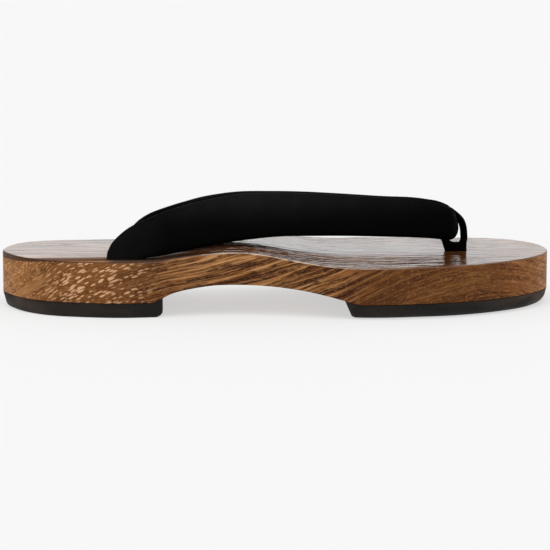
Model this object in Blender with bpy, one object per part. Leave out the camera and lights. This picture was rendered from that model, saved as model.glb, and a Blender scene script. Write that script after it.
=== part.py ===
"""A right geta sandal: a foot-shaped wooden deck on two rubber pads, with a padded thong strap on a toe loop.

Everything is in metres. X runs from heel to toe, +Y is the inner side of the foot, and the sandal stands on
Z = 0. The origin is midway along its length and its width. Sizes across are worked out from the strap's own
lengthwise axis, and add_object() moves each finished mesh over by the little that centres the deck's width.
"""

import math

import bmesh
import bpy
import numpy as np
from mathutils import Vector

# Deck
LENGTH = 0.270
BALL_WIDTH = 0.0925
HEEL_WOOD = 0.0203
CREST_WOOD = 0.0241
FOREFOOT_WOOD = 0.0181
TOP_EDGE = 0.0011
# Places along the deck, measured forward from the tip of the heel
HUMP_START = 0.0710
CREST_PLACE = 0.1140
HUMP_END = 0.1730
ARCH_START = 0.0715
ARCH_PEAK_PLACE = 0.1130
ARCH_END = 0.1740
ARCH_HEIGHT = 0.0081
# How far the forefoot climbs from the end of the arch to the tip of the toe
TOE_RISE = 0.0006

# Rubber pads
RUBBER = 0.0072
HEEL_PAD_LENGTH = 0.0780
FOREFOOT_PAD_START = 0.1665
FOREFOOT_PAD_SLANT = 0.0030
HEEL_PAD_UNDERCUT = 0.0003
HEEL_TIP_UNDERCUT = 0.0016
HEEL_PAD_EDGE = 0.0018
FOREFOOT_PAD_UNDERCUT = 0.0026
FOREFOOT_TIP_UNDERCUT = -0.0006
FOREFOOT_PAD_EDGE = 0.0045

# Strap
LANDING_PLACE = 0.0605
LANDING_SPREAD = 0.0255
INNER_LEAD = 0.0105
NOSE_SETBACK = 0.0464
STRAP_CREST = 0.0303
BAND_THICKNESS = 0.0060
FOOT_WIDTH = 0.0191
FOOT_THICKNESS = 0.0036
STRAP_SEAT = 0.0120
STRAP_LIFT = 0.0005

# Toe loop
LOOP_THICKNESS = 0.0035
LOOP_WIDTH = 0.0058
LOOP_CLEARANCE = 0.0007
POST_LENGTH = 0.0108
POST_HEIGHT = 0.0042
POST_FLARE = 0.0014
POST_LEAD = 0.0007
POST_SEAT = 0.0120

# Fits
GLUE_GAP = 0.0003
SAME_POINT = 0.000001
SLOT_CLEARANCE = 0.0003

# How finely the curves are cut
OUTLINE_STEPS = 3
TOP_EDGE_SEGMENTS = 2
PAD_EDGE_SEGMENTS = 3
PROFILE_STEPS = 28
BAND_STEPS = 2
BAND_POINTS = 14
LOOP_STEPS = 3
LOOP_POINTS = 12
SUPERELLIPSE = 2.3
SHARP_ANGLE = math.radians(35)

# Which way a face looks, from the height of its normal
LOOKS_UP = 0.7
LOOKS_DOWN = -0.99
LOOKS_SIDEWAYS = 0.3

# Outline of the deck from above, a row for each section from the tip of the heel to the tip of the toe:
# its place as a share of LENGTH, and where its two sides lie beside the lengthwise axis, as shares of
# BALL_WIDTH, the inner side positive.
OUTLINE = (
    # along, outer side, inner side
    (0.000, 0.048, 0.048),
    (0.010, -0.056, 0.181),
    (0.035, -0.175, 0.283),
    (0.075, -0.274, 0.334),
    (0.130, -0.336, 0.351),
    (0.210, -0.380, 0.357),
    (0.300, -0.366, 0.340),
    (0.390, -0.342, 0.339),
    (0.460, -0.359, 0.366),
    (0.530, -0.413, 0.412),
    (0.600, -0.478, 0.458),
    (0.670, -0.511, 0.480),
    (0.740, -0.499, 0.464),
    (0.810, -0.471, 0.438),
    (0.870, -0.413, 0.408),
    (0.920, -0.337, 0.366),
    (0.955, -0.261, 0.305),
    (0.981, -0.170, 0.218),
    (0.995, -0.082, 0.120),
    (1.000, 0.030, 0.030),
)

# Side profile of the deck. Each table gives a share of the way from one place to the next, and the
# share of the rise or fall that is done there.
HUMP_RISE = (
    # way along, way up or down
    (0.0, 0.0),
    (0.12, 0.07),
    (0.24, 0.30),
    (0.38, 0.53),
    (0.52, 0.70),
    (0.68, 0.86),
    (0.84, 0.97),
    (1.0, 1.0),
)
HUMP_FALL = (
    # way along, way up or down
    (0.0, 0.0),
    (0.12, 0.06),
    (0.25, 0.20),
    (0.40, 0.44),
    (0.55, 0.66),
    (0.70, 0.83),
    (0.85, 0.95),
    (1.0, 1.0),
)
ARCH_RISE = (
    # way along, way up or down
    (0.0, 0.0),
    (0.08, 0.07),
    (0.16, 0.30),
    (0.24, 0.50),
    (0.36, 0.68),
    (0.52, 0.83),
    (0.74, 0.96),
    (1.0, 1.0),
)
ARCH_FALL = (
    # way along, way up or down
    (0.0, 0.0),
    (0.20, 0.03),
    (0.40, 0.13),
    (0.58, 0.30),
    (0.72, 0.50),
    (0.84, 0.72),
    (0.93, 0.91),
    (1.0, 1.0),
)

# Half of the strap, from its landing in the deck to its fold at the nose, a row for each section.
# Places forward are shares of the run from landing to nose, offsets are shares of LANDING_SPREAD and
# heights are shares of STRAP_CREST. The lower edge is measured up from the wood below it and the rim
# from the heel. Pad is a share of BAND_THICKNESS, and lead of INNER_LEAD.
BAND = (
    # low place, low offset, low height, rim place, rim offset, rim height, pad, lead
    (0.071, 1.000, 0.027, -0.056, 0.945, 0.112, 0.66, 1.00),
    (0.089, 0.980, 0.036, -0.042, 0.925, 0.254, 0.74, 1.00),
    (0.110, 0.958, 0.044, -0.018, 0.880, 0.384, 0.82, 1.00),
    (0.137, 0.937, 0.054, 0.015, 0.785, 0.500, 0.90, 1.00),
    (0.173, 0.896, 0.064, 0.067, 0.650, 0.612, 0.96, 0.95),
    (0.221, 0.833, 0.083, 0.133, 0.472, 0.722, 1.00, 0.75),
    (0.287, 0.750, 0.104, 0.224, 0.315, 0.832, 1.00, 0.35),
    (0.372, 0.667, 0.150, 0.333, 0.158, 0.918, 1.00, 0.10),
    (0.462, 0.604, 0.240, 0.442, 0.098, 0.930, 0.95, 0.00),
    (0.554, 0.540, 0.305, 0.545, 0.085, 0.918, 0.90, 0.00),
    (0.660, 0.470, 0.335, 0.663, 0.085, 0.880, 0.84, 0.00),
    (0.767, 0.400, 0.308, 0.776, 0.090, 0.838, 0.78, 0.00),
    (0.859, 0.350, 0.280, 0.869, 0.110, 0.812, 0.72, 0.00),
    (0.920, 0.320, 0.254, 0.932, 0.165, 0.760, 0.66, 0.00),
    (0.954, 0.300, 0.230, 0.953, 0.210, 0.731, 0.62, 0.00),
    (0.975, 0.272, 0.214, 0.972, 0.235, 0.690, 0.60, 0.00),
    (0.990, 0.215, 0.222, 0.988, 0.210, 0.635, 0.60, 0.00),
    (0.998, 0.120, 0.250, 0.998, 0.120, 0.505, 0.60, 0.00),
)
NOSE = (1.000, 0.000, 0.280, 1.000, 0.000, 0.420, 0.60, 0.00)

# Ring of the toe loop seen from the side, round the fold of the strap: forward of the fold's middle as
# a share of half the ring's length, and up from the fold's lower edge as a share of the ring's height.
RING = (
    # forward, up
    (1.08, -0.36),
    (1.08, 0.04),
    (1.00, 0.39),
    (0.82, 0.68),
    (0.56, 0.87),
    (0.21, 1.04),
    (-0.19, 1.20),
    (-0.61, 1.35),
    (-0.96, 1.32),
    (-1.11, 1.08),
    (-1.11, 0.73),
    (-1.11, 0.33),
    (-1.20, -0.07),
    (-1.11, -0.38),
    (-0.64, -0.60),
    (0.09, -0.71),
    (0.78, -0.65),
)

HEEL_TOP = RUBBER + HEEL_WOOD
CREST_TOP = RUBBER + CREST_WOOD
FOREFOOT_TOP = RUBBER + FOREFOOT_WOOD
LANDING_X = LANDING_PLACE - LENGTH / 2
NOSE_X = LENGTH / 2 - NOSE_SETBACK

COLLECTION = "geta_sandal"


def from_heel(place):
    """X of a place measured forward from the tip of the heel."""
    return place - LENGTH / 2


def eased(rows, share):
    """Smooth reading of a two-column table, flat before its first row and after its last."""
    places, values = np.array(rows).T
    if share <= places[0]:
        return values[0]
    if share >= places[-1]:
        return values[-1]
    slopes = np.gradient(values, places)
    slopes[0] = slopes[-1] = 0.0
    left = int(np.searchsorted(places, share)) - 1
    width = places[left + 1] - places[left]
    t = (share - places[left]) / width
    start = (1 + 2 * t) * (1 - t) ** 2 * values[left] + t * (1 - t) ** 2 * width * slopes[left]
    end = t * t * (3 - 2 * t) * values[left + 1] - t * t * (1 - t) * width * slopes[left + 1]
    return start + end


def toe_rise(place):
    """How far the forefoot has climbed at a place."""
    return TOE_RISE * max(0.0, (place - ARCH_END) / (LENGTH - ARCH_END))


def top_height(x):
    """Height of the deck's top: level at the heel, over the hump, then rising slightly to the toe."""
    place = x + LENGTH / 2
    if place < CREST_PLACE:
        share = (place - HUMP_START) / (CREST_PLACE - HUMP_START)
        return HEEL_TOP + (CREST_TOP - HEEL_TOP) * eased(HUMP_RISE, share)
    share = (place - CREST_PLACE) / (HUMP_END - CREST_PLACE)
    return CREST_TOP - (CREST_TOP - FOREFOOT_TOP) * eased(HUMP_FALL, share) + toe_rise(place)


def under_height(x):
    """Height of the wood's underside: on the rubber at both ends, with the arch scooped out between."""
    place = x + LENGTH / 2
    if place < ARCH_PEAK_PLACE:
        share = (place - ARCH_START) / (ARCH_PEAK_PLACE - ARCH_START)
        return RUBBER + ARCH_HEIGHT * eased(ARCH_RISE, share)
    share = (place - ARCH_PEAK_PLACE) / (ARCH_END - ARCH_PEAK_PLACE)
    return RUBBER + ARCH_HEIGHT * (1 - eased(ARCH_FALL, share)) + toe_rise(place)


def profile_stations():
    """The places along X where the curved part of the side profile is cut into flat strips."""
    start = from_heel(min(HUMP_START, ARCH_START))
    return np.linspace(start, from_heel(max(HUMP_END, ARCH_END)), PROFILE_STEPS)


def strip_height(height, x):
    """Height at X along the flat strips between stations and on to the toe, so that each strip is plane."""
    stations = [*profile_stations(), LENGTH / 2]
    return float(np.interp(x, stations, [height(station) for station in stations]))


def through(rows, steps, closed=False):
    """Points of a smooth curve through rows of any number of columns (a Catmull-Rom spline)."""
    rows = [np.array(row, float) for row in rows]
    last = len(rows) if closed else len(rows) - 1
    points = []
    for i in range(last):
        if closed:
            a, b, c, d = (rows[(i + k) % len(rows)] for k in (-1, 0, 1, 2))
        else:
            b, c = rows[i], rows[i + 1]
            a = rows[i - 1] if i else 2 * b - c
            d = rows[i + 2] if i + 2 < len(rows) else 2 * c - b
        for step in range(steps):
            t = step / steps
            points.append(
                b + 0.5 * t * (c - a + t * (2 * a - 5 * b + 4 * c - d + t * (3 * (b - c) + d - a)))
            )
    if not closed:
        points.append(rows[-1])
    return points


def outline(inset=0.0, tip_inset=0.0):
    """The deck's outline from above, moved inwards by inset, and at the tips by tip_inset as well."""
    forward = [(along, outer) for along, outer, _ in OUTLINE]
    back = [(along, inner) for along, _, inner in OUTLINE[-2:0:-1]]
    points = np.array(through(forward + back, OUTLINE_STEPS, closed=True)) * (LENGTH, BALL_WIDTH)
    points[:, 0] -= LENGTH / 2
    along = np.roll(points, -1, axis=0) - np.roll(points, 1, axis=0)
    inward = np.stack([-along[:, 1], along[:, 0]], axis=1)
    inward /= np.linalg.norm(inward, axis=1)[:, None]
    depth = inset + tip_inset * inward[:, :1] ** 2
    return points + depth * inward


def loft(rings, closed=False):
    """A bmesh skin over rings of equally many points, capped at both ends unless it closes on itself."""
    bm = bmesh.new()
    rows = [[bm.verts.new(point) for point in ring] for ring in rings]
    count = len(rows[0])
    pairs = list(zip(rows, rows[1:]))
    if closed:
        pairs.append((rows[-1], rows[0]))
    for low, high in pairs:
        for i in range(count):
            j = (i + 1) % count
            bm.faces.new((low[i], low[j], high[j], high[i]))
    if not closed:
        bm.faces.new(rows[0])
        bm.faces.new(rows[-1])
    bmesh.ops.recalc_face_normals(bm, faces=bm.faces)
    return bm


def everything(bm):
    """All of a bmesh's geometry, as its operators take it."""
    return bm.verts[:] + bm.edges[:] + bm.faces[:]


def block(low_outline, high_outline):
    """An upright block between two outlines, cut into strips and a metre high until it gets its profile."""
    bm = loft([[(x, y, 0.0) for x, y in low_outline], [(x, y, 1.0) for x, y in high_outline]])
    for x in profile_stations():
        bmesh.ops.bisect_plane(bm, geom=everything(bm), plane_co=(x, 0, 0), plane_no=(1, 0, 0))
    return bm


def give_profile(bm, under, over):
    """Moves a block's two ends to the heights that two functions give along the deck."""
    for vert in bm.verts:
        vert.co.z = strip_height(over if vert.co.z else under, vert.co.x)


def trim_behind(bm, point, normal):
    """Cuts away what lies on the normal's side of a plane, and closes the cut."""
    cut = bmesh.ops.bisect_plane(
        bm, geom=everything(bm), plane_co=point, plane_no=normal, clear_outer=True
    )["geom_cut"]
    edges = [item for item in cut if isinstance(item, bmesh.types.BMEdge)]
    bmesh.ops.holes_fill(bm, edges=edges, sides=0)
    bmesh.ops.recalc_face_normals(bm, faces=bm.faces)


def round_edges(bm, chosen, radius, segments):
    """Bevels the edges whose two faces' normals pass the test in chosen."""
    edges = [
        edge
        for edge in bm.edges
        if len(edge.link_faces) == 2 and chosen(edge.link_faces[0].normal, edge.link_faces[1].normal)
    ]
    bmesh.ops.bevel(
        bm, geom=edges, offset=radius, segments=segments, profile=0.5, affect="EDGES", clamp_overlap=True
    )


def edge_of_top(one, other):
    """True for normals of which one points up and the other sideways."""
    return max(one.z, other.z) > LOOKS_UP and abs(min(one.z, other.z)) < LOOKS_SIDEWAYS


def edge_of_bottom(one, other):
    """True for normals of which one points straight down and the other doesn't."""
    return min(one.z, other.z) < LOOKS_DOWN and max(one.z, other.z) > -LOOKS_UP


def material(name, color, roughness, metallic=0.0):
    """A plain Principled BSDF material."""
    made = bpy.data.materials.new(name)
    made.use_nodes = True
    shader = made.node_tree.nodes["Principled BSDF"]
    shader.inputs["Base Color"].default_value = (*color, 1.0)
    shader.inputs["Roughness"].default_value = roughness
    shader.inputs["Metallic"].default_value = metallic
    made.diffuse_color = (*color, 1.0)
    return made


def to_middle():
    """The move across that puts the middle of the deck's width over the origin."""
    across = outline()[:, 1]
    return Vector((0, -(across.min() + across.max()) / 2, 0))


def add_object(name, bm, collection, dressed=None):
    """Turns a bmesh into a centred object of the collection, smooth except at its sharp edges."""
    bmesh.ops.translate(bm, vec=to_middle(), verts=bm.verts)
    mesh = bpy.data.meshes.new(name)
    bm.to_mesh(mesh)
    bm.free()
    mesh.shade_smooth()
    mesh.set_sharp_from_angle(angle=SHARP_ANGLE)
    made = bpy.data.objects.new(name, mesh)
    collection.objects.link(made)
    if dressed:
        mesh.materials.append(dressed)
    return made


def add_cutter(name, bm, target, cutters):
    """Makes a hidden cutter, subtracts it from the target and returns the Boolean."""
    cutter = add_object(name, bm, cutters)
    cutter.hide_render = True
    cutter.display_type = "WIRE"
    cut = target.modifiers.new(name, "BOOLEAN")
    cut.operation = "DIFFERENCE"
    cut.solver = "EXACT"
    cut.object = cutter
    return cut


def section(middle, wide, out, half_width, half_thickness, count):
    """A ring of a padded band: a superellipse about middle, its long axis wide, its short axis out."""
    ring = []
    power = 2 / SUPERELLIPSE
    for k in range(count):
        angle = 2 * math.pi * k / count
        across = math.copysign(abs(math.cos(angle)) ** power, math.cos(angle))
        through_it = math.copysign(abs(math.sin(angle)) ** power, math.sin(angle))
        ring.append(middle + wide * (half_width * across) + out * (half_thickness * through_it))
    return ring


def landing(side):
    """Middle of the slot on one side of the deck: -1 is the outer side and 1 the inner."""
    lead = INNER_LEAD if side > 0 else 0.0
    return Vector((LANDING_X + lead, side * LANDING_SPREAD, top_height(LANDING_X + lead)))


def foot_ring(side, height, grow=0.0):
    """Level section of the strap's upright foot, its long axis running back, grown all round for its slot."""
    middle = landing(side)
    middle.z = height
    half_width, half_thickness = FOOT_WIDTH / 2 + grow, FOOT_THICKNESS / 2 + grow
    return section(middle, Vector((-1, 0, 0)), Vector((0, side, 0)), half_width, half_thickness, BAND_POINTS)


def foot_rings(side):
    """The foot's rings from its end in the slot up to just clear of the wood, which slopes there."""
    top = landing(side).z
    rings = [foot_ring(side, top - STRAP_SEAT), foot_ring(side, top - STRAP_SEAT / 2)]
    rings.append([Vector((p.x, p.y, top_height(p.x) + STRAP_LIFT)) for p in foot_ring(side, top)])
    return rings


def band_edges(row, side):
    """Lower edge and rim of one section of the strap, and its thickness."""
    low_place, low_offset, low_height, rim_place, rim_offset, rim_height, pad, lead = row
    run = NOSE_X - LANDING_X
    shift = lead * INNER_LEAD if side > 0 else 0.0
    low_x = LANDING_X + low_place * run + shift
    rim_x = LANDING_X + rim_place * run + shift
    low = Vector((low_x, side * low_offset * LANDING_SPREAD, top_height(low_x) + low_height * STRAP_CREST))
    rim = Vector((rim_x, side * rim_offset * LANDING_SPREAD, HEEL_TOP + rim_height * STRAP_CREST))
    return low, rim, pad * BAND_THICKNESS


def band_sections():
    """(lower edge, rim, thickness) of each section above the deck, from outer landing to inner landing."""
    outer = [band_edges(row, -1) for row in BAND]
    inner = [band_edges(row, 1) for row in BAND]
    rows = outer + [band_edges(NOSE, 1)] + inner[::-1]
    table = [(*low, *rim, thickness) for low, rim, thickness in rows]
    return [(Vector(row[:3]), Vector(row[3:6]), row[6]) for row in through(table, BAND_STEPS)]


def band_rings():
    """The strap's rings, from the foot in the outer slot over the nose to the foot in the inner slot."""
    sections = band_sections()
    middles = [(low + rim) / 2 for low, rim, _ in sections]
    rings = []
    for i, (low, rim, thickness) in enumerate(sections):
        if i == 0:
            along = middles[0] - landing(-1)
        elif i == len(sections) - 1:
            along = landing(1) - middles[-1]
        else:
            along = middles[i + 1] - middles[i - 1]
        wide = (rim - low).normalized()
        out = along.cross(wide).normalized()
        half_width = (rim - low).length / 2
        rings.append(section(middles[i], wide, out, half_width, thickness / 2, BAND_POINTS))
    return foot_rings(-1) + rings + foot_rings(1)[::-1]


def build_deck(collection, cutters):
    """The wooden deck, with the strap's slots and the toe loop's hole."""
    bm = block(outline(), outline())
    give_profile(bm, under_height, top_height)
    bm.normal_update()
    round_edges(bm, edge_of_top, TOP_EDGE, TOP_EDGE_SEGMENTS)
    wood = material("figured hardwood", (0.30, 0.145, 0.058), 0.35)
    deck = add_object("deck", bm, collection, wood)
    for name, side in (("outer slot", -1), ("inner slot", 1)):
        top = landing(side).z
        levels = (top - STRAP_SEAT - SLOT_CLEARANCE, top + CREST_WOOD)
        slot = loft([foot_ring(side, level, SLOT_CLEARANCE) for level in levels])
        add_cutter(name, slot, deck, cutters)
    levels = (FOREFOOT_TOP - POST_SEAT - SLOT_CLEARANCE, FOREFOOT_TOP + FOREFOOT_WOOD)
    hole = loft([post_ring(level, grow=SLOT_CLEARANCE) for level in levels])
    add_cutter("toe loop hole", hole, deck, cutters)
    return deck


def floor_height(_):
    """Height of the floor."""
    return 0.0


def glued_height(x):
    """Height of a pad's top, a film of glue below the wood."""
    return under_height(x) - GLUE_GAP


def pad_block(undercut, tip_undercut):
    """The body that a pad is trimmed from: the outline under the wood, undercut towards the floor."""
    bm = block(outline(undercut, tip_undercut), outline())
    give_profile(bm, floor_height, glued_height)
    return bm


def finish_pad(name, bm, edge, collection, rubber):
    """Rounds a trimmed pad's bottom edge and makes it an object."""
    bmesh.ops.remove_doubles(bm, verts=bm.verts, dist=SAME_POINT)
    bm.normal_update()
    round_edges(bm, edge_of_bottom, edge, PAD_EDGE_SEGMENTS)
    return add_object(name, bm, collection, rubber)


def build_pads(collection):
    """The two rubber pads: the heel's front end is upright and the forefoot's rear end slants."""
    rubber = material("sole rubber", (0.030, 0.026, 0.023), 0.75)
    heel = pad_block(HEEL_PAD_UNDERCUT, HEEL_TIP_UNDERCUT)
    trim_behind(heel, (from_heel(HEEL_PAD_LENGTH), 0, 0), (1, 0, 0))
    forefoot = pad_block(FOREFOOT_PAD_UNDERCUT, FOREFOOT_TIP_UNDERCUT)
    start = from_heel(FOREFOOT_PAD_START)
    trim_behind(forefoot, (start, 0, RUBBER), (-RUBBER, 0, -FOREFOOT_PAD_SLANT))
    return (
        finish_pad("heel_pad", heel, HEEL_PAD_EDGE, collection, rubber),
        finish_pad("forefoot_pad", forefoot, FOREFOOT_PAD_EDGE, collection, rubber),
    )


def build_strap(collection):
    """The thong strap: one padded band from slot to slot, folded at the nose."""
    leather = material("padded strap leather", (0.012, 0.012, 0.012), 0.55)
    return add_object("strap", loft(band_rings()), collection, leather)


def post_ring(height, flare=0.0, grow=0.0):
    """Level section of the toe loop's post, its rear side moved back by flare and all of it grown by grow."""
    middle = Vector((NOSE_X + POST_LEAD - flare / 2, 0, height))
    half_length = (POST_LENGTH + flare) / 2 + grow
    half_width = LOOP_WIDTH / 2 + grow
    return section(middle, Vector((1, 0, 0)), Vector((0, 1, 0)), half_length, half_width, LOOP_POINTS)


def nose_extent():
    """(rear, front, low, high) of the strap's fold at the middle of the sandal."""
    low, rim, thickness = band_edges(NOSE, 1)
    return low.x - thickness / 2, low.x + thickness / 2, low.z, rim.z


def build_toe_loop(collection, cutters):
    """The toe loop: a soft ring round the strap's fold, on a post that goes down into the deck."""
    fabric = material("toe loop fabric", (0.010, 0.010, 0.010), 0.9)
    rear, front, low, high = nose_extent()
    half_length = (front - rear) / 2 + LOOP_CLEARANCE + LOOP_THICKNESS / 2
    height = high - low + LOOP_CLEARANCE + LOOP_THICKNESS / 2
    route = [
        Vector((NOSE_X + forward * half_length, 0, low + up * height))
        for forward, up in through(RING, LOOP_STEPS, closed=True)
    ]
    rings = []
    for i, middle in enumerate(route):
        along = route[(i + 1) % len(route)] - route[i - 1]
        out = Vector((along.z, 0, -along.x)).normalized()
        rings.append(
            section(middle, Vector((0, 1, 0)), out, LOOP_WIDTH / 2, LOOP_THICKNESS / 2, LOOP_POINTS)
        )
    loop = add_object("toe_loop", loft(rings, closed=True), collection, fabric)
    levels = (
        (FOREFOOT_TOP - POST_SEAT, 0.0),
        (FOREFOOT_TOP, 0.0),
        (FOREFOOT_TOP + POST_HEIGHT / 2, POST_FLARE / 2),
        (FOREFOOT_TOP + POST_HEIGHT, POST_FLARE),
    )
    post = loft([post_ring(level, flare) for level, flare in levels])
    add_cutter("toe loop post", post, loop, cutters).operation = "UNION"
    return loop


def main():
    """Clears the scene and builds the sandal."""
    for existing in list(bpy.data.objects):
        bpy.data.objects.remove(existing, do_unlink=True)
    collection = bpy.data.collections.new(COLLECTION)
    cutters = bpy.data.collections.new(COLLECTION + "_cutters")
    bpy.context.scene.collection.children.link(collection)
    bpy.context.scene.collection.children.link(cutters)
    build_deck(collection, cutters)
    build_pads(collection)
    build_strap(collection)
    build_toe_loop(collection, cutters)


main()
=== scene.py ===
"""The looks of a right geta sandal: lacquered figured wood, rubber pads, a padded thong strap and its toe loop.

Everything is in metres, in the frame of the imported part: X runs from heel to toe, +Y is the inner side of the
foot and the floor is Z = 0. Each class holds one sub-assembly's sizes and builds its meshes; each finish is a
frozen dataclass that builds one procedural material.
"""

import logging
import math
from dataclasses import dataclass, field
from enum import Enum

import bmesh
import bpy
import numpy as np
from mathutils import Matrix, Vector


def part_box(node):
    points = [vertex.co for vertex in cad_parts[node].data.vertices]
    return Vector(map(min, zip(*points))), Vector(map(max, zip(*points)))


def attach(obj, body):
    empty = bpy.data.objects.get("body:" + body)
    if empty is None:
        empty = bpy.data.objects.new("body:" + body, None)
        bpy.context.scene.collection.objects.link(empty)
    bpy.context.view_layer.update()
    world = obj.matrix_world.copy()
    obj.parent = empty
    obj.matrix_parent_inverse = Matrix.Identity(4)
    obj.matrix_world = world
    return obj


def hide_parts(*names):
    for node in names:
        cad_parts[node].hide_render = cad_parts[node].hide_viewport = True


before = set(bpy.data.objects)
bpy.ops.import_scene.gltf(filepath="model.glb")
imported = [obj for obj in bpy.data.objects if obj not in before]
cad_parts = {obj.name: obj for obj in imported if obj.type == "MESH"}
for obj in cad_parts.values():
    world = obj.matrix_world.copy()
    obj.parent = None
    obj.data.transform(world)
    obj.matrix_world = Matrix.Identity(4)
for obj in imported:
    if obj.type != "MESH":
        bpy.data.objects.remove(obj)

log = logging.getLogger("geta")

MM = 0.001
BODY = "root"
SHARP = math.radians(35)
# Vertices nearer to each other than this are one
CLOSE = 0.001 * MM
# The sockets of a Map Range node after its value
MAP_ENDS = ("From Min", "From Max", "To Min", "To Max")

Socket = bpy.types.NodeSocket
Material = bpy.types.Material
Object = bpy.types.Object
Mesh = bmesh.types.BMesh
Ring = list[Vector]
Triple = tuple[float, float, float]
Pairs = tuple[tuple[float, float], ...]
Place = tuple[Socket, Socket, Socket]


class Side(Enum):
    """The two sides of the sandal, as the sign of Y."""

    OUTER = -1
    INNER = 1


class Recipe:
    """The node tree of one material, with short calls for the nodes that the finishes use."""

    def __init__(self, name: str) -> None:
        """Starts a material with an empty Principled shader.

        Args:
            name: the material's name.
        """
        self.material = bpy.data.materials.new(name)
        self.material.use_nodes = True
        self.nodes = self.material.node_tree.nodes
        self.links = self.material.node_tree.links
        self.shader = self.nodes["Principled BSDF"]

    def node(self, kind: str, **settings: object) -> bpy.types.Node:
        """Adds a node.

        Args:
            kind: the node's type without its leading ShaderNode.
            **settings: properties of the node.

        Returns:
            The new node.
        """
        made = self.nodes.new("ShaderNode" + kind)
        for key, value in settings.items():
            setattr(made, key, value)
        return made

    def feed(self, socket: Socket, value: object) -> None:
        """Links a socket to an output, or sets its constant.

        Args:
            socket: the input to feed.
            value: an output socket or a constant.
        """
        if isinstance(value, Socket):
            self.links.new(value, socket)
        else:
            socket.default_value = value

    def math(self, operation: str, a: object, b: object = 0.0, clamp: bool = False) -> Socket:
        """A Math node on two values.

        Args:
            operation: the node's operation.
            a: first value.
            b: second value.
            clamp: whether the result is kept from 0 to 1.

        Returns:
            The result's socket.
        """
        made = self.node("Math", operation=operation, use_clamp=clamp)
        self.feed(made.inputs[0], a)
        self.feed(made.inputs[1], b)
        return made.outputs[0]

    def times(self, a: object, b: object) -> Socket:
        """The product of two values."""
        return self.math("MULTIPLY", a, b)

    def plus(self, a: object, b: object, clamp: bool = False) -> Socket:
        """The sum of two values, kept from 0 to 1 if clamp is set."""
        return self.math("ADD", a, b, clamp)

    def minus(self, a: object, b: object) -> Socket:
        """The first value less the second."""
        return self.math("SUBTRACT", a, b)

    def place_mm(self) -> Place:
        """The three Object coordinates in millimetres."""
        scaled = self.node("VectorMath", operation="SCALE")
        self.feed(scaled.inputs[0], self.node("TexCoord").outputs["Object"])
        scaled.inputs["Scale"].default_value = 1 / MM
        parts = self.node("SeparateXYZ")
        self.feed(parts.inputs[0], scaled.outputs[0])
        return parts.outputs[0], parts.outputs[1], parts.outputs[2]

    def stretched(self, place: Place, per_mm: Triple) -> Socket:
        """A vector whose parts are scaled one by one.

        Args:
            place: three parts in millimetres.
            per_mm: how many pattern steps each part runs in a millimetre.

        Returns:
            The vector's socket.
        """
        made = self.node("CombineXYZ")
        for socket, value, scale in zip(made.inputs, place, per_mm):
            self.feed(socket, self.times(value, scale))
        return made.outputs[0]

    def grain(
        self, place: Place, per_mm: Triple, detail: float = 2.0, rough: float = 0.5, warp: float = 0.0
    ) -> Socket:
        """Noise at a stretched place.

        Args:
            place: three parts in millimetres.
            per_mm: how many pattern steps each part runs in a millimetre.
            detail: octaves of detail.
            rough: strength of the finer octaves.
            warp: distortion.

        Returns:
            The noise, from 0 to 1.
        """
        made = self.node("TexNoise")
        self.feed(made.inputs["Vector"], self.stretched(place, per_mm))
        for key, value in (("Scale", 1.0), ("Detail", detail), ("Roughness", rough), ("Distortion", warp)):
            made.inputs[key].default_value = value
        return made.outputs["Fac"]

    def cells(self, place: Place, per_mm: Triple) -> tuple[Socket, Socket]:
        """Distance to the nearest of scattered points, and a random number of that point.

        Args:
            place: three parts in millimetres.
            per_mm: how many cells each part runs in a millimetre.

        Returns:
            Both sockets.
        """
        made = self.node("TexVoronoi")
        self.feed(made.inputs["Vector"], self.stretched(place, per_mm))
        made.inputs["Scale"].default_value = 1.0
        parts = self.node("SeparateXYZ")
        self.feed(parts.inputs[0], made.outputs["Color"])
        return made.outputs["Distance"], parts.outputs[0]

    def blend(self, *pairs: tuple[object, float]) -> Socket:
        """A sum of values about their middles.

        Args:
            *pairs: (value from 0 to 1, weight) pairs.

        Returns:
            0.5 plus each value less 0.5 times its weight, kept from 0 to 1.
        """
        total = 0.5
        for value, weight in pairs:
            total = self.plus(self.times(self.minus(value, 0.5), weight), total)
        return self.plus(total, 0.0, clamp=True)

    def between(self, value: object, low: float, high: float, start: float = 0.0, end: float = 1.0) -> Socket:
        """A smooth step.

        Args:
            value: what is read.
            low: where the step starts.
            high: where it ends.
            start: result up to low.
            end: result from high on.

        Returns:
            The step's socket.
        """
        made = self.node("MapRange", interpolation_type="SMOOTHSTEP")
        self.feed(made.inputs["Value"], value)
        for key, item in zip(MAP_ENDS, (low, high, start, end)):
            made.inputs[key].default_value = item
        return made.outputs[0]

    def curve(self, value: Socket, points: Pairs) -> Socket:
        """A smooth curve through points, all from 0 to 1.

        Args:
            value: what is read.
            points: (place, height) pairs.

        Returns:
            The curve's height.
        """
        made = self.node("FloatCurve")
        line = made.mapping.curves[0]
        while len(line.points) < len(points):
            line.points.new(0.5, 0.5)
        for point, place in zip(line.points, points):
            point.location = place
        made.mapping.update()
        self.feed(made.inputs["Value"], value)
        return made.outputs[0]

    def ramp(self, value: Socket, stops: tuple[tuple[float, Triple], ...]) -> Socket:
        """A colour ramp.

        Args:
            value: what is read.
            stops: (place, colour) pairs.

        Returns:
            The colour's socket.
        """
        made = self.node("ValToRGB")
        items = made.color_ramp.elements
        while len(items) < len(stops):
            items.new(0.5)
        for item, (place, color) in zip(items, stops):
            item.position = place
            item.color = (*color, 1.0)
        self.feed(made.inputs[0], value)
        return made.outputs[0]

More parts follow.
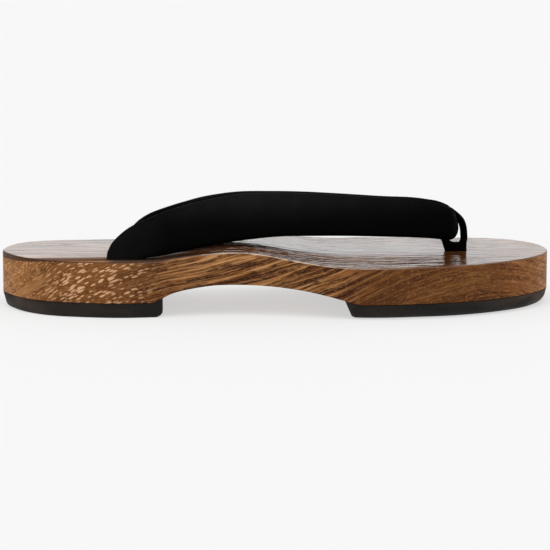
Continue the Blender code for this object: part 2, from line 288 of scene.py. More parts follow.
    def mix(self, share: object, a: object, b: object, blend: str = "MIX") -> Socket:
        """A mix of two colours.

        Args:
            share: how much of b.
            a: first colour, a socket or three numbers.
            b: second colour, a socket or three numbers.
            blend: how they mix.

        Returns:
            The colour's socket.
        """
        made = self.node("Mix", data_type="RGBA", blend_type=blend)
        self.feed(made.inputs["Factor"], share)
        for socket, value in ((made.inputs[6], a), (made.inputs[7], b)):
            self.feed(socket, (*value, 1.0) if isinstance(value, tuple) else value)
        return made.outputs[2]

    def bump(self, height: Socket, depth_mm: float, strength: float = 1.0, under: Socket | None = None) -> Socket:
        """A bump of a real depth.

        Args:
            height: the relief, from 0 to 1.
            depth_mm: how deep it is from 0 to 1.
            strength: share of the effect.
            under: a bump below this one.

        Returns:
            The normal's socket.
        """
        made = self.node("Bump")
        self.feed(made.inputs["Height"], height)
        made.inputs["Distance"].default_value = depth_mm * MM
        made.inputs["Strength"].default_value = strength
        if under is not None:
            self.feed(made.inputs["Normal"], under)
        return made.outputs[0]

    def set(self, **values: object) -> None:
        """Feeds the shader's sockets, named with underscores for spaces.

        Args:
            **values: a constant or an output for each socket.
        """
        for key, value in values.items():
            self.feed(self.shader.inputs[key.replace("_", " ")], value)


@dataclass(frozen=True)
class Last:
    """The deck's outline and side profile, with the same named sizes as the solids."""

    length: float = 0.270
    ball_width: float = 0.0925
    rubber: float = 0.0072
    heel_wood: float = 0.0203
    crest_wood: float = 0.0241
    forefoot_wood: float = 0.0181
    hump: Triple = (0.0710, 0.1140, 0.1730)
    arch: Triple = (0.0715, 0.1130, 0.1740)
    arch_height: float = 0.0081
    toe_rise: float = 0.0006
    stations: tuple[Triple, ...] = (
        # along, outer side, inner side
        (0.000, 0.048, 0.048),
        (0.010, -0.056, 0.181),
        (0.035, -0.175, 0.283),
        (0.075, -0.274, 0.334),
        (0.130, -0.336, 0.351),
        (0.210, -0.380, 0.357),
        (0.300, -0.366, 0.340),
        (0.390, -0.342, 0.339),
        (0.460, -0.359, 0.366),
        (0.530, -0.413, 0.412),
        (0.600, -0.478, 0.458),
        (0.670, -0.511, 0.480),
        (0.740, -0.499, 0.464),
        (0.810, -0.471, 0.438),
        (0.870, -0.413, 0.408),
        (0.920, -0.337, 0.366),
        (0.955, -0.261, 0.305),
        (0.981, -0.170, 0.218),
        (0.995, -0.082, 0.120),
        (1.000, 0.030, 0.030),
    )
    # Shares of the rise or fall that are done at shares of the way
    hump_rise: Pairs = (
        (0.0, 0.0), (0.12, 0.07), (0.24, 0.30), (0.38, 0.53), (0.52, 0.70), (0.68, 0.86), (0.84, 0.97), (1.0, 1.0),
    )
    hump_fall: Pairs = (
        (0.0, 0.0), (0.12, 0.06), (0.25, 0.20), (0.40, 0.44), (0.55, 0.66), (0.70, 0.83), (0.85, 0.95), (1.0, 1.0),
    )
    arch_rise: Pairs = (
        (0.0, 0.0), (0.08, 0.07), (0.16, 0.30), (0.24, 0.50), (0.36, 0.68), (0.52, 0.83), (0.74, 0.96), (1.0, 1.0),
    )
    arch_fall: Pairs = (
        (0.0, 0.0), (0.20, 0.03), (0.40, 0.13), (0.58, 0.30), (0.72, 0.50), (0.84, 0.72), (0.93, 0.91), (1.0, 1.0),
    )

    @staticmethod
    def eased(rows: Pairs, share: float) -> float:
        """Smooth reading of a two-column table, flat at both ends.

        Args:
            rows: (place, value) pairs.
            share: where to read.

        Returns:
            The value there.
        """
        places, values = np.array(rows).T
        if share <= places[0]:
            return float(values[0])
        if share >= places[-1]:
            return float(values[-1])
        slopes = np.gradient(values, places)
        slopes[0] = slopes[-1] = 0.0
        left = int(np.searchsorted(places, share)) - 1
        width = places[left + 1] - places[left]
        t = (share - places[left]) / width
        start = (1 + 2 * t) * (1 - t) ** 2 * values[left] + t * (1 - t) ** 2 * width * slopes[left]
        end = t * t * (3 - 2 * t) * values[left + 1] - t * t * (1 - t) * width * slopes[left + 1]
        return float(start + end)

    def profile(self, x: float, marks: Triple, rise: Pairs, fall: Pairs) -> float:
        """How much of a hump stands at X, from 0 to 1.

        Args:
            x: place along the sandal.
            marks: where it starts, peaks and ends, from the heel's tip.
            rise: table of its rise.
            fall: table of its fall.

        Returns:
            The share of its full height.
        """
        start, peak, end = marks
        place = x + self.length / 2
        if place < peak:
            return self.eased(rise, (place - start) / (peak - start))
        return 1 - self.eased(fall, (place - peak) / (end - peak))

    def toe_climb(self, x: float) -> float:
        """How far the forefoot has climbed at X."""
        end = self.arch[2]
        return self.toe_rise * max(0.0, (x + self.length / 2 - end) / (self.length - end))

    def top(self, x: float) -> float:
        """Height of the deck's top.

        Args:
            x: place along the sandal.

        Returns:
            The height above the floor.
        """
        before = x + self.length / 2 < self.hump[1]
        base = self.heel_wood if before else self.forefoot_wood
        share = self.profile(x, self.hump, self.hump_rise, self.hump_fall)
        return self.rubber + base + (self.crest_wood - base) * share + self.toe_climb(x)

    def under(self, x: float) -> float:
        """Height of the wood's underside at X."""
        share = self.profile(x, self.arch, self.arch_rise, self.arch_fall)
        return self.rubber + self.arch_height * share + self.toe_climb(x)

    def outline(self, steps: int, inset: float = 0.0, tip_inset: float = 0.0) -> np.ndarray:
        """The outline from above, outer side first, anticlockwise.

        Args:
            steps: points to each row of the table.
            inset: how far inwards it is moved.
            tip_inset: how much further at the tips.

        Returns:
            An array of (x, y) rows.
        """
        forward = [(along, outer) for along, outer, _ in self.stations]
        back = [(along, inner) for along, _, inner in self.stations[-2:0:-1]]
        points = np.array(through(forward + back, steps, closed=True)) * (self.length, self.ball_width)
        points[:, 0] -= self.length / 2
        points[:, 1] += AXIS_Y
        along = np.roll(points, -1, axis=0) - np.roll(points, 1, axis=0)
        inward = np.stack([-along[:, 1], along[:, 0]], axis=1)
        inward /= np.linalg.norm(inward, axis=1)[:, None]
        return points + (inset + tip_inset * inward[:, :1] ** 2) * inward


def through(rows: list, steps: int, closed: bool = False) -> list[np.ndarray]:
    """Points of a smooth curve through rows of any number of columns.

    Args:
        rows: the rows that it passes through.
        steps: points to each row.
        closed: whether it comes back to its first row.

    Returns:
        The points.
    """
    rows = [np.array(row, float) for row in rows]
    points = []
    for i in range(len(rows) if closed else len(rows) - 1):
        if closed:
            a, b, c, d = (rows[(i + k) % len(rows)] for k in (-1, 0, 1, 2))
        else:
            b, c = rows[i], rows[i + 1]
            a = rows[i - 1] if i else 2 * b - c
            d = rows[i + 2] if i + 2 < len(rows) else 2 * c - b
        for t in np.arange(steps) / steps:
            points.append(b + 0.5 * t * (c - a + t * (2 * a - 5 * b + 4 * c - d + t * (3 * (b - c) + d - a))))
    if not closed:
        points.append(rows[-1])
    return points


# The strap's lengthwise axis lies this far to the inner side of the frame's middle
AXIS_Y = float(sum(corner.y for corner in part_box("toe_loop")) / 2)
LAST = Last()


@dataclass(frozen=True)
class Figure:
    """What the layers of the wood's figure are read from."""

    # X, Y and the height above the climbing grain, and the share of the way from heel to toe
    spot: Place
    way: Socket
    # Noise of the coarse lines, of the fine lines, and noise that drifts slowly
    line: Socket
    fibre: Socket
    wobble: Socket


@dataclass(frozen=True)
class FiguredWood:
    """Figured hardwood: flecks at the heel, streaks that climb over the arch, rings and specks under the toes."""

    dark: Triple = (0.040, 0.012, 0.003)
    brown: Triple = (0.155, 0.054, 0.012)
    tan: Triple = (0.345, 0.148, 0.040)
    pale: Triple = (0.660, 0.370, 0.170)
    golden: tuple[Triple, Triple] = ((0.25, 0.105, 0.027), (0.52, 0.27, 0.105))
    fleck: Triple = (0.64, 0.375, 0.205)
    eased: Triple = (0.105, 0.036, 0.010)
    painted_edge_highlight: Triple = (0.62, 0.50, 0.42)
    heel_edge_dark: Triple = (0.020, 0.008, 0.004)
    shadow: Triple = (0.006, 0.003, 0.001)
    half_length_mm: float = 135.0
    axis_mm: float = 1.4
    # How far the grain climbs from heel to toe, and how far it wanders and wobbles off that line
    climb_mm: float = 100.0
    wander_mm: float = 4.0
    wobble_mm: float = 1.1
    # Heights of the lacquer's crown, of its fall beside the landings and of its ripples
    crown_mm: float = 4.6
    fall_mm: float = 5.0
    ripple_mm: float = 1.2
    # Tables of (share of the way from heel to toe, value). First, how much of the climb is done
    climb: Pairs = (
        (0.00, 0.000), (0.06, 0.158), (0.13, 0.280), (0.22, 0.375), (0.33, 0.440), (0.42, 0.490), (0.52, 0.570),
        (0.60, 0.660), (0.68, 0.775), (0.76, 0.862), (0.84, 0.905), (0.90, 0.912), (0.95, 0.880), (1.00, 0.800),
    )
    # How strong each kind of figure is, and how light the sides and the top are: the sides lighter towards both
    # ends partly as painted light, the top darker along the strap's run partly as painted shade
    streaks: Pairs = (
        (0.00, 0.12), (0.12, 0.20), (0.21, 0.45), (0.28, 0.95),
        (0.58, 1.00), (0.64, 0.60), (0.70, 0.20), (1.00, 0.12),
    )
    flecks: Pairs = (
        (0.00, 0.00), (0.05, 0.15), (0.09, 0.75), (0.13, 1.00),
        (0.23, 1.00), (0.27, 0.55), (0.32, 0.10), (1.00, 0.00),
    )
    specks: Pairs = (
        (0.00, 0.35), (0.04, 0.90), (0.10, 0.80), (0.16, 0.30),
        (0.50, 0.25), (0.62, 0.45), (0.80, 0.55), (1.00, 0.50),
    )
    rings: Pairs = (
        (0.00, 0.00), (0.62, 0.10), (0.70, 0.45), (0.80, 1.00), (0.92, 1.00), (0.96, 0.40), (1.00, 0.20),
    )
    light: Pairs = (
        (0.00, 0.95), (0.03, 0.86), (0.07, 0.78), (0.15, 0.88), (0.22, 0.76),
        (0.28, 0.58), (0.40, 0.65), (0.54, 0.63), (0.61, 0.50), (0.68, 0.39),
        (0.76, 0.39), (0.86, 0.42), (0.92, 0.50), (0.97, 0.66), (1.00, 0.81),
    )
    top_tone_and_painted_shade: Pairs = (
        (0.00, 0.80), (0.10, 0.74), (0.26, 0.50), (0.42, 0.36),
        (0.58, 0.38), (0.72, 0.42), (0.82, 0.34), (0.90, 0.54), (1.00, 0.80),
    )
    # How much painted highlight, partly wear, lies on the eased edge, and how strong the lacquer's ripples and
    # crown are
    wear_and_painted_light: Pairs = (
        (0.00, 0.00), (0.18, 0.02), (0.32, 0.10), (0.37, 0.75),
        (0.46, 1.00), (0.60, 0.65), (0.70, 0.25), (1.00, 0.12),
    )
    ripples: Pairs = (
        (0.00, 0.02), (0.32, 0.15), (0.40, 0.95), (0.56, 1.00),
        (0.66, 0.85), (0.75, 0.45), (0.82, 0.85), (0.90, 0.20), (1.00, 0.05),
    )
    crown: Pairs = (
        (0.00, 0.00), (0.17, 0.20), (0.23, 0.90), (0.32, 1.00),
        (0.50, 1.00), (0.62, 0.75), (0.76, 0.30), (1.00, 0.00),
    )

    def way(self, r: Recipe, x: Socket) -> Socket:
        """The share of the way from heel to toe at X in millimetres."""
        return r.math("DIVIDE", r.plus(x, self.half_length_mm), 2 * self.half_length_mm, clamp=True)

    def shade(self, r: Recipe, color: Socket, light: Socket) -> Socket:
        """Darkens a colour, and makes it redder as it gets darker.

        Args:
            r: the recipe.
            color: the colour.
            light: 0 for black, 0.5 for a reddish half, 1 for the colour as it is.

        Returns:
            The new colour.
        """
        half = (0.50, 0.420, 0.350)
        tint = r.ramp(light, ((0.0, (0.0, 0.0, 0.0)), (0.5, half), (1.0, (1.0, 1.0, 1.0))))
        return r.mix(1.0, color, tint, "MULTIPLY")

    def streaked(self, r: Recipe, figure: Figure) -> Socket:
        """Streaks over the arch, and plain wood with faint rings elsewhere.

        Args:
            r: the recipe.
            figure: what the figure is read from.

        Returns:
            The colour.
        """
        spot, line, fibre, wobble = figure.spot, figure.line, figure.fibre, figure.wobble
        strength = r.curve(figure.way, self.streaks)
        streak = r.between(r.grain(spot, (0.016, 0.03, 0.34), warp=0.2), 0.36, 0.62)
        figured = r.blend((streak, 0.58), (line, 2.7))
        plain = r.blend((line, 0.5), (fibre, 0.9), (wobble, 0.5))
        tone = r.times(r.blend((figured, 1.0), (fibre, 0.9)), strength)
        tone = r.plus(tone, r.times(plain, r.minus(1.0, strength)))
        ring = r.minus(r.grain(spot, (0.010, 0.02, 0.80), rough=0.6), 0.5)
        tone = r.plus(tone, r.times(r.times(ring, 0.65), r.curve(figure.way, self.rings)), clamp=True)
        color = r.ramp(tone, ((0.0, self.dark), (0.36, self.brown), (0.62, self.tan), (1.0, self.pale)))
        hair = r.between(r.grain(spot, (0.03, 0.05, 2.6), detail=1.0), 0.60, 0.68)
        color = r.mix(r.times(hair, r.times(strength, 0.70)), color, self.pale)
        vein = r.math("ABSOLUTE", r.minus(r.grain(spot, (0.018, 0.03, 0.50), warp=0.3), 0.5))
        vein = r.times(r.between(vein, 0.015, 0.080, 1.0, 0.0), r.between(wobble, 0.36, 0.60, 0.30, 1.0))
        return r.mix(r.times(vein, r.times(strength, 0.88)), color, self.dark)

    def flecked(self, r: Recipe, color: Socket, figure: Figure) -> Socket:
        """Lays a golden band, pale flecks on a darker ground and fine specks over a colour.

        Args:
            r: the recipe.
            color: the colour below.
            figure: what the figure is read from.

        Returns:
            The colour.
        """
        spot, way, wobble = figure.spot, figure.way, figure.wobble
        reach = r.math("ABSOLUTE", r.plus(spot[2], 3.4))
        band = r.times(r.between(reach, 0.7, 3.2, 1.0, 0.0), r.between(way, 0.13, 0.19, 1.0, 0.0))
        fine = r.blend((figure.fibre, 1.0), (figure.line, 0.8))
        golden = r.mix(r.between(fine, 0.25, 0.75), *self.golden)
        color = r.mix(r.times(band, 0.75), color, golden)
        share = r.curve(way, self.flecks)
        color = r.mix(r.times(share, 0.62), color, r.mix(r.times(wobble, 0.7), self.brown, self.dark))
        distance, chance = r.cells(spot, (0.27, 0.10, 0.78))
        size = r.plus(r.times(chance, 0.24), 0.27)
        fleck = r.times(r.between(r.minus(size, distance), -0.04, 0.12), share)
        strong = r.plus(r.times(r.between(wobble, 0.34, 0.52), 0.50), 0.50, clamp=True)
        color = r.mix(r.times(fleck, strong), color, self.fleck)
        speck = r.between(r.grain(spot, (0.70, 0.70, 1.6), detail=1.0), 0.585, 0.66)
        speck = r.times(speck, r.times(r.curve(way, self.specks), r.minus(1.0, band)))
        return r.mix(r.times(speck, 0.75), color, self.pale)

    def side(self) -> Material:
        """The satin sides and underside."""
        r = Recipe("figured wood")
        x, y, z = place = r.place_mm()
        way = self.way(r, x)
        wander = r.grain(place, (0.03, 0.03, 0.06), detail=1.0)
        wobble = r.grain(place, (0.16, 0.16, 0.3))
        climbed = r.times(r.curve(way, self.climb), self.climb_mm)
        level = r.minus(r.minus(z, climbed), r.times(wander, self.wander_mm))
        spot = (x, y, r.minus(level, r.times(wobble, self.wobble_mm)))
        line = r.grain(spot, (0.030, 0.06, 1.05), detail=3.0, rough=0.66)
        fibre = r.grain(spot, (0.22, 0.4, 4.0), rough=0.6)
        figure = Figure(spot, way, line, fibre, wobble)
        color = self.flecked(r, self.streaked(r, figure), figure)
        # The tone along the sides is lighter towards both ends, partly the wood's own tone and partly painted
        # light
        color = self.shade(r, color, r.curve(way, self.light))
        # Darker edge round the heel's top, and the dark joint over the rubber
        tip = r.plus(z, r.between(x, -134.0, -113.0, 1.7, 0.0))
        heel_edge_dark = r.times(r.between(tip, 26.0, 26.9), r.between(x, -122.0, -102.0, 1.0, 0.0))
        joint = r.between(z, 7.4, 7.9, 0.55, 0.0)
        relief = r.blend((line, 0.5), (fibre, 0.5))
        r.set(
            Base_Color=r.mix(r.math("MAXIMUM", r.times(heel_edge_dark, 0.9), joint), color, self.dark),
            Roughness=r.between(relief, 0.3, 0.7, 0.52, 0.38),
            Normal=r.bump(relief, 0.12, 0.6),
            Specular_IOR_Level=0.08,
            Coat_Weight=0.01,
            Coat_Roughness=0.25,
        )
        return r.material

    def edge(self) -> Material:
        """The eased edge of the top: dark at the heel, with a light line over the arch that is a painted highlight
        and partly wear.
        """
        r = Recipe("eased edge")
        x, _, _ = place = r.place_mm()
        patchy = r.grain(place, (0.14, 0.14, 0.5), detail=3.0, rough=0.6)
        # Painted highlight, partly wear: the eased edge is lighter over the arch, in patches
        wear_and_painted_light = r.times(r.curve(self.way(r, x), self.wear_and_painted_light), r.between(patchy, 0.36, 0.58, 0.35, 1.0))
        heel_edge_dark = r.between(r.plus(x, r.times(patchy, 30.0)), -96.0, -74.0, 1.0, 0.15)
        r.set(
            Base_Color=r.mix(heel_edge_dark, r.mix(wear_and_painted_light, self.eased, self.painted_edge_highlight), self.heel_edge_dark),
            Roughness=0.40,
            Specular_IOR_Level=0.10,
            Coat_Weight=0.03,
            Coat_Roughness=0.2,
        )
        return r.material

    def top(self) -> Material:
        """The lacquered footbed, with its grain lengthwise and a rippled gloss."""
        r = Recipe("lacquered footbed")
        x, y, z = place = r.place_mm()
        way = self.way(r, x)
        drift = r.times(r.grain(place, (0.012, 0.03, 0.0), detail=1.0), 6.0)
        spot = (x, r.plus(y, drift), z)
        band = r.grain(spot, (0.010, 0.16, 0.05), detail=3.0, rough=0.55)
        line = r.grain(spot, (0.022, 0.55, 0.1), detail=3.0, rough=0.60)
        open_pore = r.between(r.grain(spot, (0.05, 1.5, 0.2)), 0.58, 0.67)
        tone = r.blend((band, 1.6), (line, 1.4))
        color = r.ramp(tone, ((0.0, self.dark), (0.34, self.brown), (0.62, self.tan), (1.0, self.pale)))
        color = r.mix(r.times(open_pore, 0.85), color, self.dark)
        # The top is darker along the strap's run, partly the wood's tone and partly painted shade under the strap
        color = self.shade(r, color, r.curve(way, self.top_tone_and_painted_shade))
        # The wood is in the shade beside the strap's landings
        rim = r.math("ABSOLUTE", r.minus(y, self.axis_mm))
        beside = r.times(r.between(x, -86.0, -80.0), r.between(x, -48.0, -10.0, 1.0, 0.0))
        shaded = r.times(r.between(rim, 21.0, 25.0), beside)
        # The lacquer is crowned, falls away more beside the landings, and ripples most over the hump
        crown = r.bump(r.times(r.between(rim, 1.0, 40.0, 1.0, 0.0), r.curve(way, self.crown)), self.crown_mm)
        fall = r.times(r.between(rim, 18.0, 38.0, 1.0, 0.0), r.between(way, 0.25, 0.38, 1.0, 0.0))
        crown = r.bump(fall, self.fall_mm, under=crown)
        wave = r.grain(spot, (0.020, 0.19, 0.0), rough=0.55)
        choppy = r.grain(spot, (0.060, 0.30, 0.0), rough=0.60)
        share = r.times(r.between(rim, 0.0, 34.0, 0.40, 1.0), r.curve(way, self.ripples))
        height = r.plus(r.times(wave, 0.18), r.times(choppy, share))
        ripple = r.bump(height, self.ripple_mm, under=crown)
        r.set(
            Base_Color=r.mix(r.times(shaded, 0.80), color, self.shadow),
            Roughness=r.between(open_pore, 0.0, 1.0, 0.16, 0.60),
            Normal=r.bump(open_pore, -0.03, 0.6, under=ripple),
            Specular_IOR_Level=0.5,
            Coat_Weight=0.30,
            Coat_Roughness=0.08,
            Coat_Normal=ripple,
        )
        return r.material


@dataclass(frozen=True)
class SoleRubber:
    """Matt charcoal-brown sole rubber with a fine buffed grain."""

    dark: Triple = (0.0060, 0.0048, 0.0038)
    wear_and_painted_light: Triple = (0.0150, 0.0114, 0.0088)
    lighter_end_tone: Triple = (0.0400, 0.0260, 0.0190)

    def material(self) -> Material:
        """Builds the material."""
        r = Recipe("sole rubber")
        x, _, _ = place = r.place_mm()
        grain = r.grain(place, (0.9, 0.9, 3.0), detail=3.0, rough=0.7)
        cloud = r.grain(place, (0.05, 0.05, 0.12))
        share = r.plus(r.times(grain, 0.45), r.times(cloud, 0.55), clamp=True)
        # Lighter and warmer towards both ends, in cloudy patches
        ends = r.between(r.math("ABSOLUTE", r.plus(x, 4.0)), 96.0, 132.0)
        lighter_ends = r.times(ends, r.between(cloud, 0.36, 0.62))
        color = r.mix(r.between(share, 0.38, 0.66), self.dark, self.wear_and_painted_light)
        r.set(
            Base_Color=r.mix(lighter_ends, color, self.lighter_end_tone),
            Roughness=r.between(grain, 0.3, 0.7, 0.78, 0.62),
            Specular_IOR_Level=0.17,
            Normal=r.bump(grain, 0.10, 0.5),
        )
        return r.material


@dataclass(frozen=True)
class StrapLeather:
    """Smooth black leather, satin and nearly without a shine, with a fine grain."""

    black: Triple = (0.0004, 0.0004, 0.0003)
    wear_and_painted_light: Triple = (0.0090, 0.0082, 0.0080)

    def material(self) -> Material:
        """Builds the material."""
        r = Recipe("strap leather")
        x, _, z = place = r.place_mm()
        pebble, _ = r.cells(place, (1.7, 1.7, 1.7))
        soft = r.grain(place, (0.10, 0.10, 0.06), detail=3.0, rough=0.55)
        fine = r.grain(place, (3.0, 3.0, 3.0))
        relief = r.plus(r.times(pebble, 0.7), r.times(fine, 0.3))
        # Painted light: the leather is lighter towards the top, where light falls from above, less so towards the
        # toe and a little at the heel end; soft noise makes it patchy
        high = r.times(r.between(z, 41.0, 58.5), r.between(x, 0.0, 90.0, 1.0, 0.32))
        high = r.math("MAXIMUM", high, r.between(x, -76.0, -50.0, 0.42, 0.0))
        wear_and_painted_light = r.times(high, r.between(soft, 0.30, 0.70, 0.75, 1.0))
        r.set(
            Base_Color=r.mix(wear_and_painted_light, self.black, self.wear_and_painted_light),
            Roughness=r.between(soft, 0.3, 0.7, 0.58, 0.46),
            Specular_IOR_Level=0.02,
            Normal=r.bump(relief, 0.06, 0.5, under=r.bump(soft, 0.5, 0.35)),
        )
        return r.material


@dataclass(frozen=True)
class LoopFabric:
    """Black velvet-like fabric with a short nap."""

    black: Triple = (0.0008, 0.0007, 0.0006)
    tip: Triple = (0.0030, 0.0024, 0.0020)

    def material(self) -> Material:
        """Builds the material."""
        r = Recipe("toe loop fabric")
        place = r.place_mm()
        nap = r.grain(place, (3.4, 3.4, 3.4), detail=3.0, rough=0.7)
        rib = r.grain(place, (0.5, 2.6, 0.5))
        relief = r.plus(r.times(nap, 0.6), r.times(rib, 0.4))
        r.set(
            Base_Color=r.mix(r.between(nap, 0.52, 0.75), self.black, self.tip),
            Roughness=0.95,
            Specular_IOR_Level=0.01,
            Sheen_Weight=0.01,
            Sheen_Roughness=0.5,
            Normal=r.bump(relief, 0.18, 0.7),
        )
        return r.material


@dataclass(frozen=True)
class StudioFloor:
    """Plain white light table: a matt sheet that glows a little from below."""

    white: Triple = (0.34, 0.34, 0.34)
    glow: float = 0.55

    def material(self) -> Material:
        """Builds the material."""
        r = Recipe("studio paper")
        r.set(
            Base_Color=(*self.white, 1.0),
            Roughness=0.9,
            Specular_IOR_Level=0.0,
            Emission_Color=(1.0, 1.0, 1.0, 1.0),
            Emission_Strength=self.glow,
        )
        return r.material


def new_object(name: str, bm: Mesh, *materials: Material) -> Object:
    """Turns a bmesh into an object at the origin, smooth except at sharp edges.

    Args:
        name: the object's name.
        bm: its shape, which is freed.
        *materials: its materials in slot order.

    Returns:
        The object.
    """
    mesh = bpy.data.meshes.new(name)
    bm.to_mesh(mesh)
    bm.free()
    mesh.shade_smooth()
    mesh.set_sharp_from_angle(angle=SHARP)
    for material in materials:
        mesh.materials.append(material)
    made = bpy.data.objects.new(name, mesh)
    bpy.context.scene.collection.objects.link(made)
    return made


def subtract(target: Object, cutters: list[Object]) -> None:
    """Cuts pieces out of a target and removes the cutters.

    Args:
        target: what is cut.
        cutters: what cuts it.
    """
    for cutter in cutters:
        cut = target.modifiers.new(cutter.name, "BOOLEAN")
        cut.operation = "DIFFERENCE"
        cut.solver = "EXACT"
        cut.object = cutter
    whole = bpy.data.meshes.new_from_object(target.evaluated_get(bpy.context.evaluated_depsgraph_get()))
    target.modifiers.clear()
    target.data = whole
    whole.shade_smooth()
    whole.set_sharp_from_angle(angle=SHARP)
    for cutter in cutters:
        bpy.data.objects.remove(cutter)


def sweep(rings: list[Ring], closed: bool = False) -> Mesh:
    """A skin extruded from ring to ring.

    Args:
        rings: rings of equally many points.
        closed: whether the last ring is joined to the first.

    Returns:
        The bmesh, capped at both ends unless closed.
    """
    bm = bmesh.new()
    count = len(rings[0])
    order = bm.verts.layers.int.new("order")
    made = bmesh.ops.create_circle(bm, cap_ends=not closed, segments=count, radius=1.0)
    for index, vert in enumerate(made["verts"]):
        vert[order] = index
        vert.co = rings[0][index]
    edges = bm.edges[:]
    for ring in rings[1:] + ([rings[0]] if closed else []):
        grown = bmesh.ops.extrude_edge_only(bm, edges=edges)["geom"]
        for vert in grown:
            if isinstance(vert, bmesh.types.BMVert):
                vert.co = ring[vert[order]]
        new = {item for item in grown if isinstance(item, bmesh.types.BMVert)}
        edges = [e for e in grown if isinstance(e, bmesh.types.BMEdge) and set(e.verts) <= new]
    if closed:
        bmesh.ops.remove_doubles(bm, verts=bm.verts, dist=CLOSE)
    else:
        bmesh.ops.holes_fill(bm, edges=edges, sides=0)
    bmesh.ops.recalc_face_normals(bm, faces=bm.faces)
    return bm


def superellipse(
    middle: Vector, wide: Vector, out: Vector, half_width: float, half_depth: float, count: int, power: float
) -> Ring:
    """A padded section.

    Args:
        middle: its middle.
        wide: direction of its long axis.
        out: direction of its short axis.
        half_width: half its long axis.
        half_depth: half its short axis.
        count: points round it.
        power: 2 for an ellipse, more for a fuller shape.

    Returns:
        The ring of points.
    """
    ring = []
    for k in range(count):
        angle = 2 * math.pi * k / count
        across = math.copysign(abs(math.cos(angle)) ** (2 / power), math.cos(angle))
        depth = math.copysign(abs(math.sin(angle)) ** (2 / power), math.sin(angle))
        ring.append(middle + wide * (half_width * across) + out * (half_depth * depth))
    return ring


def slice_at(bm: Mesh, point: Vector | Triple, normal: Vector | Triple, **settings: bool) -> list:
    """Cuts a mesh along a plane.

    Args:
        bm: the mesh.
        point: a point of the plane.
        normal: the plane's normal.
        **settings: further settings of the operator.

    Returns:
        The new edges.
    """
    geometry = bm.verts[:] + bm.edges[:] + bm.faces[:]
    cut = bmesh.ops.bisect_plane(bm, geom=geometry, plane_co=point, plane_no=normal, **settings)["geom_cut"]
    return [item for item in cut if isinstance(item, bmesh.types.BMEdge)]


def block(outline: np.ndarray, stations: np.ndarray, closest: float = 0.25 * MM) -> Mesh:
    """An upright block, extruded from a disc and cut across at stations.

    Args:
        outline: its outline from above.
        stations: where it is cut.
        closest: vertices nearer to each other are merged, so that its edges can be rounded.

    Returns:
        The bmesh, with its lower end at height 0 and its upper end at 1.
    """
    bm = bmesh.new()
    made = bmesh.ops.create_circle(bm, cap_ends=True, segments=len(outline), radius=1.0)
    for vert, spot in zip(made["verts"], outline):
        vert.co = (*spot, 0.0)
    for item in bmesh.ops.extrude_face_region(bm, geom=bm.faces[:])["geom"]:
        if isinstance(item, bmesh.types.BMVert):
            item.co.z = 1.0
    bmesh.ops.recalc_face_normals(bm, faces=bm.faces)
    for x in stations:
        slice_at(bm, (x, 0, 0), (1, 0, 0))
    bmesh.ops.remove_doubles(bm, verts=bm.verts, dist=closest)
    return bm


def bevel(bm: Mesh, edges: list, width: float, segments: int) -> None:
    """Rounds edges.

    Args:
        bm: the mesh.
        edges: the edges to round.
        width: how far from the edge it starts.
        segments: how many faces it has.
    """
    bmesh.ops.bevel(
        bm,
        geom=edges,
        offset=width,
        segments=segments,
        profile=0.5,
        affect="EDGES",
        clamp_overlap=True,
        material=-1,
    )


def rim_edges(bm: Mesh, up: bool, flat: float = 0.7, steep: float = 0.5) -> list:
    """The edges where a block's side meets its upper or lower end.

    Args:
        bm: the mesh.
        up: True for the upper end.
        flat: least share of Z in the normal of an end's face.
        steep: greatest share of Z in the normal of a side's face.

    Returns:
        Those edges.
    """
    sign = 1 if up else -1
    found = []
    for edge in bm.edges:
        if len(edge.link_faces) == 2:
            a, b = (sign * face.normal.z for face in edge.link_faces)
            if max(a, b) > flat and min(a, b) < steep:
                found.append(edge)
    return found


@dataclass
class Deck:
    """The wooden deck: outline and profile cut from one plank, its edges eased, slots and toe hole cut in."""

    edge: float = 0.0008
    edge_segments: int = 4
    under_edge: float = 0.0005
    under_segments: int = 3
    support: float = 0.0012
    # Upward share of a face's normal over which it is the top, and over which it is the eased edge
    level: float = 0.93
    upright: float = 0.2
    steps: int = 10
    cuts: int = 96
    wood: FiguredWood = field(default_factory=FiguredWood)

    def stations(self) -> np.ndarray:
        """Where the curved part of the profile is cut."""
        first = min(LAST.hump[0], LAST.arch[0]) - LAST.length / 2
        last = max(LAST.hump[2], LAST.arch[2]) - LAST.length / 2
        return np.linspace(first, last, self.cuts)

    def shape(self) -> Mesh:
        """The plank with its profile and eased edges."""
        bm = block(LAST.outline(self.steps), self.stations())
        for vert in bm.verts:
            vert.co.z = (LAST.top if vert.co.z > 0.5 else LAST.under)(vert.co.x)
        bm.normal_update()
        bevel(bm, rim_edges(bm, up=True), self.edge, self.edge_segments)
        bm.normal_update()
        bevel(bm, rim_edges(bm, up=False), self.under_edge, self.under_segments)
        bm.normal_update()
        top = [face for face in bm.faces if face.normal.z > self.level and face.calc_area() > MM * MM]
        bmesh.ops.inset_region(bm, faces=top, thickness=self.support, use_even_offset=True)
        bm.normal_update()
        for face in bm.faces:
            face.material_index = 1 if face.normal.z > self.level else 2 if face.normal.z > self.upright else 0
        return bm

    def build(self, holes: list[Object]) -> Object:
        """Builds the deck.

        Args:
            holes: cutters for the slots and the toe hole.

        Returns:
            The deck's object.
        """
        deck = new_object("lacquered_deck", self.shape(), self.wood.side(), self.wood.top(), self.wood.edge())
        subtract(deck, holes)
        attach(deck, BODY)
        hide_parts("deck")
        return deck


@dataclass(frozen=True)
class PadSizes:
    """How one rubber pad is inset and rounded."""

    # Inset of the lower end all round, and how much more at the tips
    undercut: float
    tip_undercut: float
    # Rounding of the lower edge, of the trimmed end's upright corners and of its lower edge
    edge: float
    corner: float
    end_edge: float


